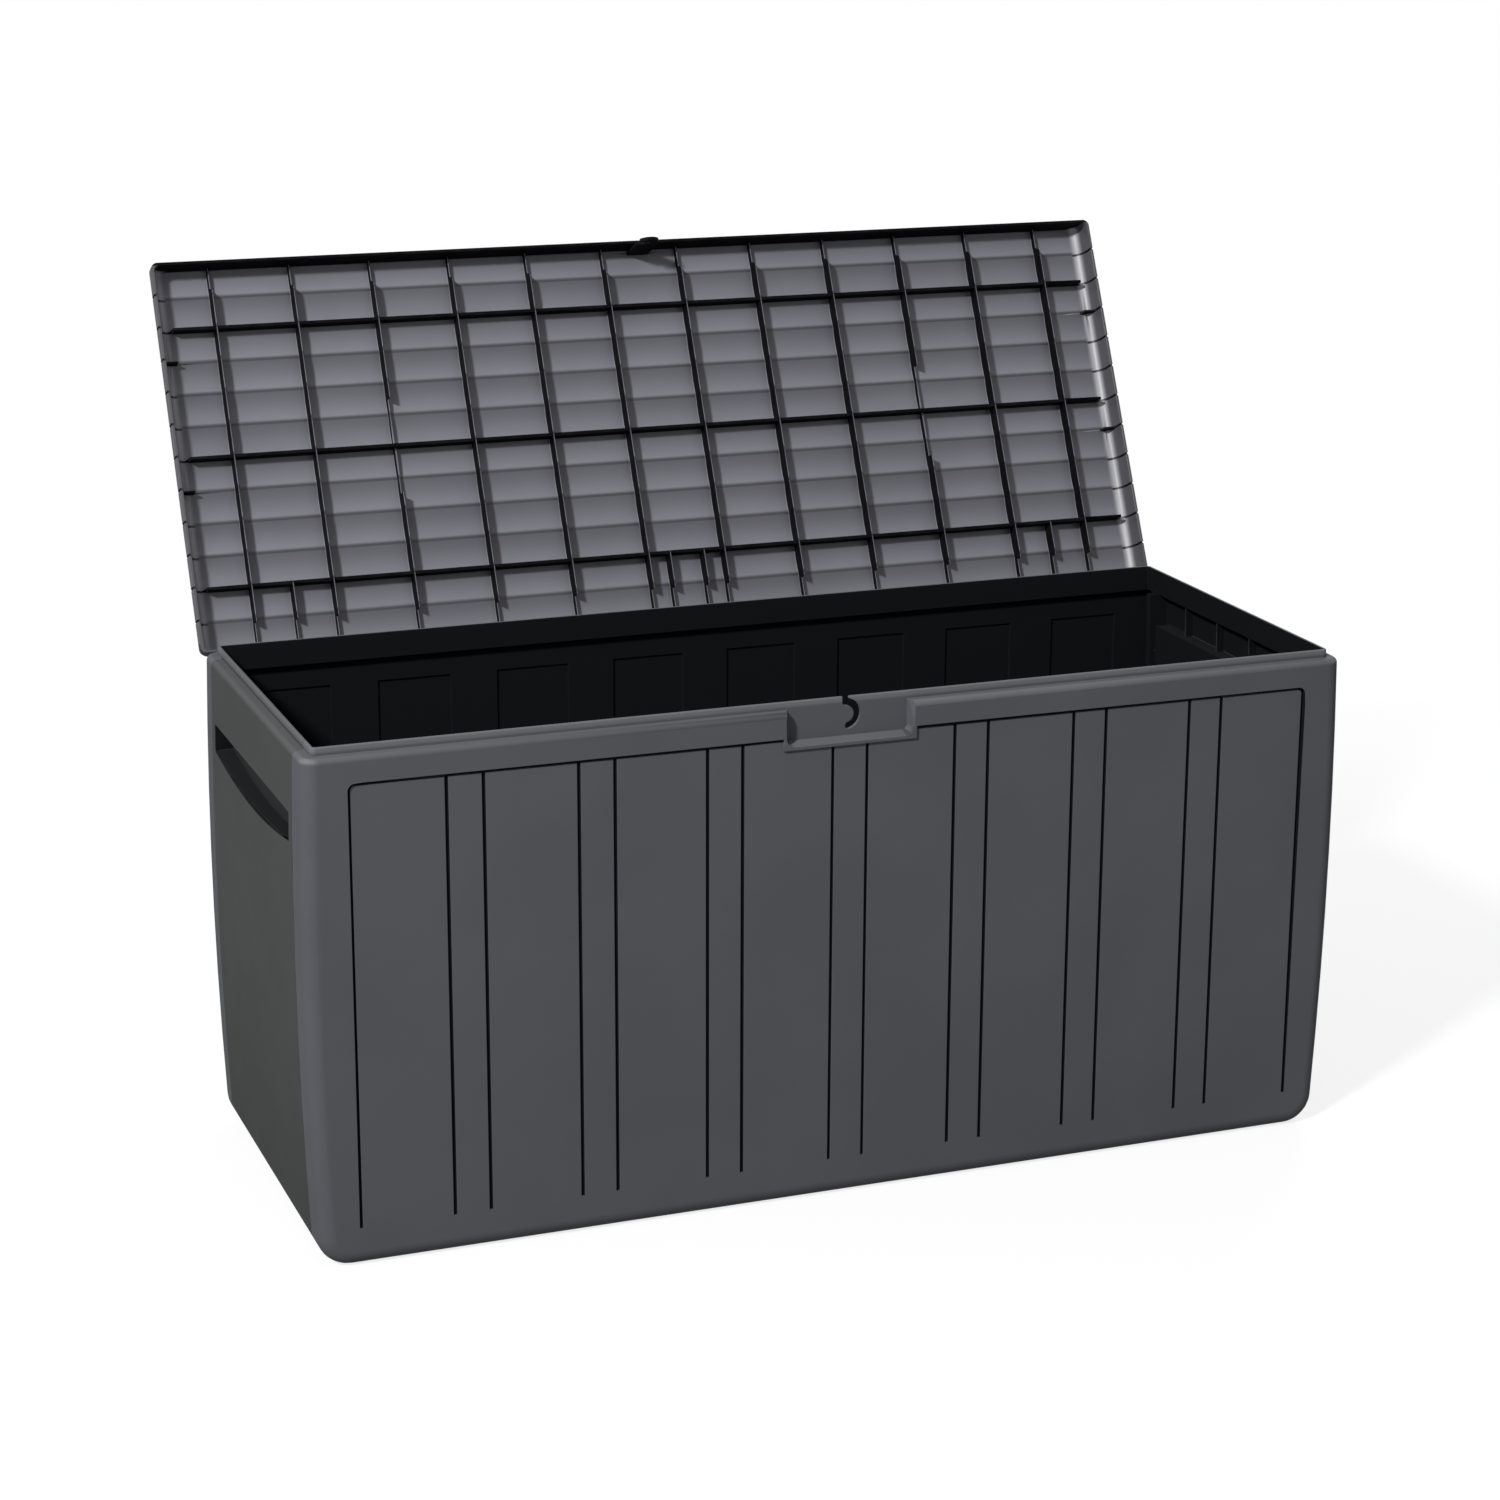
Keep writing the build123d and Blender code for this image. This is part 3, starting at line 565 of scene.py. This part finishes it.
def lid_marks(place, facing):
    """Whether a face of the lid gets painted shade in a plank line, at the skirt's edge or on a rib,
    and the number of its finish.
    """
    spot, look = closed(place, facing)
    outward_x = look.x * math.copysign(1, spot.x)
    outward_y = look.y * math.copysign(1, spot.y)
    to_line = abs((spot.y + HALF_DEPTH + PLANK_PITCH / 2) % PLANK_PITCH - PLANK_PITCH / 2)
    at_line = to_line < END_LINE and abs(spot.y) < HALF_DEPTH - PLANK_PITCH / 2
    at_end = abs(spot.x) > BEND_START - ROUND_PLAY
    end_wall = at_end and outward_x > OUTWARD
    skirt = outward_y > OUTWARD and abs(spot.y) > HALF_DEPTH - LID_WALL / 2
    # Outside, the lid's plank lines get a painted shade.
    if look.z > OUTWARD or end_wall or skirt or spot.y > HALF_DEPTH:
        return {"crease_shade": float(at_line)}, LID_ENDS if end_wall else LID_TOP

    drop = CEILING - spot.z
    in_front = spot.y < LID_WALL - HALF_DEPTH
    free_edge = look.z < -DOWNWARD and any(abs(drop - height) < EDGE_PLAY for height in RIB_HEIGHTS)
    rim = is_rim(place, facing)
    # Ribs, the front skirt's free edge and the plank lines at the ends get a black painted shade.
    if rim:
        rib_shade = in_front
    elif at_end and not in_front:
        rib_shade = at_line and max(abs(part) for part in look) > SQUARE_ON
    elif free_edge or spot.y > HALF_DEPTH - REAR_SKIRT:
        rib_shade = False
    else:
        rib_shade = drop > RIB_START
    return {"end": float(rim), "rib_shade": float(rib_shade)}, LID_RIBS if rib_shade else LID_INSIDE


print("lid rules ready")

# %% [markdown]
# ## Softened edges
# A moulding never has a knife edge, because plastic doesn't fill a sharp corner of its mould. A
# Bevel modifier could round every edge alike, but tiny edges would choke it. So a copy of each solid
# is merged, its flat faces are joined, and only its long sharp edges are bevelled, where both faces
# leave room for it. Where two finishes meet within a face, a cut divides it first.

# %% Round the long sharp edges
MERGE = 0.00002
FLAT = math.radians(0.1)
SHARP = math.radians(35)
ROOM = 2.6                 # a face must be this many bevels wide, or its edges stay sharp
SLIVER = 0.000005          # edges shorter than this, left by the bevel, are closed up


def rounded(node, width, shortest, cut=None):
    """A copy of a solid's mesh with its long sharp edges rounded."""
    mesh = bmesh.new()
    mesh.from_mesh(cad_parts[node].data)
    bmesh.ops.remove_doubles(mesh, verts=mesh.verts, dist=MERGE)
    bmesh.ops.dissolve_limit(mesh, angle_limit=FLAT, verts=mesh.verts, edges=mesh.edges,
                             use_dissolve_boundaries=False)
    if cut:
        choose, point, normal = cut
        faces = [face for face in mesh.faces if choose(face.calc_center_median(), face.normal)]
        edges = dict.fromkeys(edge for face in faces for edge in face.edges)
        verts = dict.fromkeys(vert for face in faces for vert in face.verts)
        bmesh.ops.bisect_plane(mesh, geom=[*verts, *edges, *faces], dist=MERGE,
                               plane_co=point, plane_no=normal)
    broad = {face for face in mesh.faces
             if face.calc_area() / max(edge.calc_length() for edge in face.edges) > ROOM * width}
    sharp = [edge for edge in mesh.edges
             if edge.calc_length() > shortest and edge.calc_face_angle(0) > SHARP
             and broad.issuperset(edge.link_faces)]
    bmesh.ops.bevel(mesh, geom=sharp, offset=width, offset_type="OFFSET", segments=2, profile=0.5,
                    affect="EDGES", material=-1, clamp_overlap=False)
    bmesh.ops.dissolve_degenerate(mesh, dist=SLIVER, edges=mesh.edges)
    mesh.normal_update()
    print(node, "has", len(sharp), "edges rounded")
    return mesh


print("softening ready")

# %% [markdown]
# ## Walls
# The front and the rear wall are planked boards that wrap round the corners, and the two side walls
# are smooth and bowed. Once a mesh is rounded, the rules mark each of its faces and choose its finish.
# Weighted normals then keep the broad faces flat to the eye beside their small rounds.

# %% Make the walls
WALL_ROUND = 0.0008        # width of a wall's bevels
WALL_SHORTEST = 0.005      # edges shorter than this stay sharp
MARKS = ("painted_highlight", "crease_shade", "inside_shade", "end", "rib_shade")
WALLS = (("front_panel", "front_wall", wall_finish),
         ("rear_panel", "rear_wall", wall_finish),
         ("left_side_panel", "left_side", side_shaded_finish),
         ("right_side_panel", "right_side", side_shaded_finish))


def finished(mesh, name, rules, finishes):
    """A piece made of a mesh, with its faces marked and finished."""
    layers = {key: mesh.faces.layers.float.new(key) for key in MARKS}
    for face in mesh.faces:
        marks, face.material_index = rules(face.calc_center_median(), face.normal)
        for key, value in marks.items():
            face[layers[key]] = value
    data = bpy.data.meshes.new(name)
    mesh.to_mesh(data)
    mesh.free()
    data.shade_smooth()
    data.set_sharp_from_angle(angle=SHARP)
    for finish in finishes:
        data.materials.append(finish)
    piece = bpy.data.objects.new(name, data)
    bpy.context.scene.collection.objects.link(piece)
    piece.modifiers.new("weighted", "WEIGHTED_NORMAL").keep_sharp = True
    print(name, "has", len(data.polygons), "faces")
    return piece


for node, name, finish in WALLS:
    wall = finished(rounded(node, WALL_ROUND, WALL_SHORTEST), name, wall_marks, [finish])
    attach(wall, "box")
    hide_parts(node)

# %% [markdown]
# ## The lid
# The lid is one large moulding: planks, a grid of ribs, a skirt all round and the hinge knuckles. The
# free edge of its skirt is one face all round, painted black as painted shade along the front and
# painted dark grey as painted shade elsewhere. So that face is cut where the front skirt begins, and
# the rest is made as for the walls, with finer rounds.

# %% Make the lid
LID_ROUND = 0.0005
LID_SHORTEST = 0.004
front_skirt = Vector((0, LID_WALL - HALF_DEPTH, 0))
rim_cut = (is_rim, HINGE + opening @ (front_skirt - HINGE), opening @ Vector((0, 1, 0)))
lid = finished(rounded("lid", LID_ROUND, LID_SHORTEST, rim_cut), "lid_moulding", lid_marks,
               [lid_finish, rib_shade_finish, wall_finish, side_shaded_finish])
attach(lid, "lid")
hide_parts("lid")

# %% [markdown]
# ## Carried-over pieces
# The floor drops in between the walls, the pins hold the lid in its knuckles, and the screws hold the
# corners and the floor. They could be copied and softened too, but they are small or hardly seen, and
# their solids are right as they are. So they stay and only get their finish.

# %% Dress the other solids
for node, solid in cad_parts.items():
    if node == "floor_panel":
        finish = floor_shaded_finish
    elif node.startswith("hinge_pin"):
        finish = pin_finish
    elif node.endswith("screws"):
        finish = screw_finish
    else:
        continue
    solid.data.materials.clear()
    solid.data.materials.append(finish)
    print(node, "gets", finish.name)

# %% [markdown]
# ## The studio floor
# The floor is pale and keeps the box's shadow. A floor that is lit up to white would throw too much
# light back on the box, so it is darker to the light than to the camera. Part of what the camera sees
# is a plain white glow, which takes over away from the box and hides the floor's far edge.

# %% Floor
FLOOR_SIDE = 60.0
FLOOR_TO_LIGHT = (0.4, 0.4, 0.4, 1)
FLOOR_TO_CAMERA = (0.95, 0.95, 0.95, 1)
FLOOR_DULL = 0.9
NEAR_GLOW = 0.8            # share of the floor's white that the camera sees without any shadow
NEAR = 1.2                 # metres from the middle, where the floor starts to turn wholly white
AWAY = 2.4


def camera_share(tree):
    """1 for the rays that show the background to the camera, to gloss or through glass."""
    path = tree.nodes.new("ShaderNodeLightPath")
    shown = sums(tree, "MAXIMUM", path.outputs["Is Camera Ray"], path.outputs["Is Glossy Ray"])
    return sums(tree, "MAXIMUM", shown, path.outputs["Is Transmission Ray"])


def pale_floor():
    """A dull, pale finish that turns to white away from the middle."""
    finish, tree, shader = new_finish("pale_floor")
    seen = camera_share(tree)
    tree.links.new(blend(tree, seen, FLOOR_TO_LIGHT, FLOOR_TO_CAMERA), shader.inputs["Base Color"])
    shader.inputs["Roughness"].default_value = FLOOR_DULL
    shader.inputs["Specular IOR Level"].default_value = 0.0
    distance = tree.nodes.new("ShaderNodeVectorMath")
    distance.operation = "LENGTH"
    tree.links.new(places(tree), distance.inputs[0])
    share = step(tree, distance.outputs["Value"], NEAR, AWAY, NEAR_GLOW, 1.0)
    glow = tree.nodes.new("ShaderNodeEmission")
    mixed = tree.nodes.new("ShaderNodeMixShader")
    feed(tree, mixed.inputs["Fac"], sums(tree, "MULTIPLY", seen, share))
    tree.links.new(shader.outputs[0], mixed.inputs[1])
    tree.links.new(glow.outputs[0], mixed.inputs[2])
    tree.links.new(mixed.outputs[0], tree.nodes["Material Output"].inputs["Surface"])
    return finish


mesh = bmesh.new()
bmesh.ops.create_grid(mesh, x_segments=1, y_segments=1, size=FLOOR_SIDE / 2)
ground = bpy.data.objects.new("ground", bpy.data.meshes.new("ground"))
mesh.to_mesh(ground.data)
mesh.free()
bpy.context.scene.collection.objects.link(ground)
ground.data.materials.append(pale_floor())
print("floor:", FLOOR_SIDE, "m wide")

# %% [markdown]
# ## World and lamps
# The world fills the shadows evenly and is white to the camera. The main lamp stands far off to the
# left of the front and above. It is small for its distance, so ribs and plank lines throw short, clear
# shadows to the right and down. A broad, weak lamp behind shows the rear.

# %% World and lamps
WHITE = (1, 1, 1, 1)
AMBIENT = 0.37
KEY_PLACE = Vector((-5.07, -3.83, 5.35))
KEY_TARGET = Vector((0, 0.1, 0.55))
KEY_SIDE = 0.75            # metres
KEY_POWER = 750            # watts
BACK_PLACE = Vector((3.5, 5.0, 3.5))
BACK_TARGET = Vector((0, 0.1, 0.5))
BACK_SIDE = 3.0
BACK_POWER = 230

world = bpy.data.worlds.new("studio")
bpy.context.scene.world = world
world.use_nodes = True
tree = world.node_tree
background = tree.nodes["Background"]
background.inputs["Color"].default_value = WHITE
feed(tree, background.inputs["Strength"], step(tree, camera_share(tree), 0.0, 1.0, AMBIENT, 1.0))


def soft_lamp(name, place, target, side, power):
    """A square lamp that faces a point."""
    data = bpy.data.lights.new(name, "AREA")
    data.size = side
    data.energy = power
    lamp = bpy.data.objects.new(name, data)
    aim = (target - place).to_track_quat("-Z", "Y")
    lamp.matrix_world = Matrix.Translation(place) @ aim.to_matrix().to_4x4()
    bpy.context.scene.collection.objects.link(lamp)
    print(name, "of", power, "watts")


soft_lamp("key_lamp", KEY_PLACE, KEY_TARGET, KEY_SIDE, KEY_POWER)
soft_lamp("back_lamp", BACK_PLACE, BACK_TARGET, BACK_SIDE, BACK_POWER)
bpy.context.scene.view_settings.view_transform = "Standard"
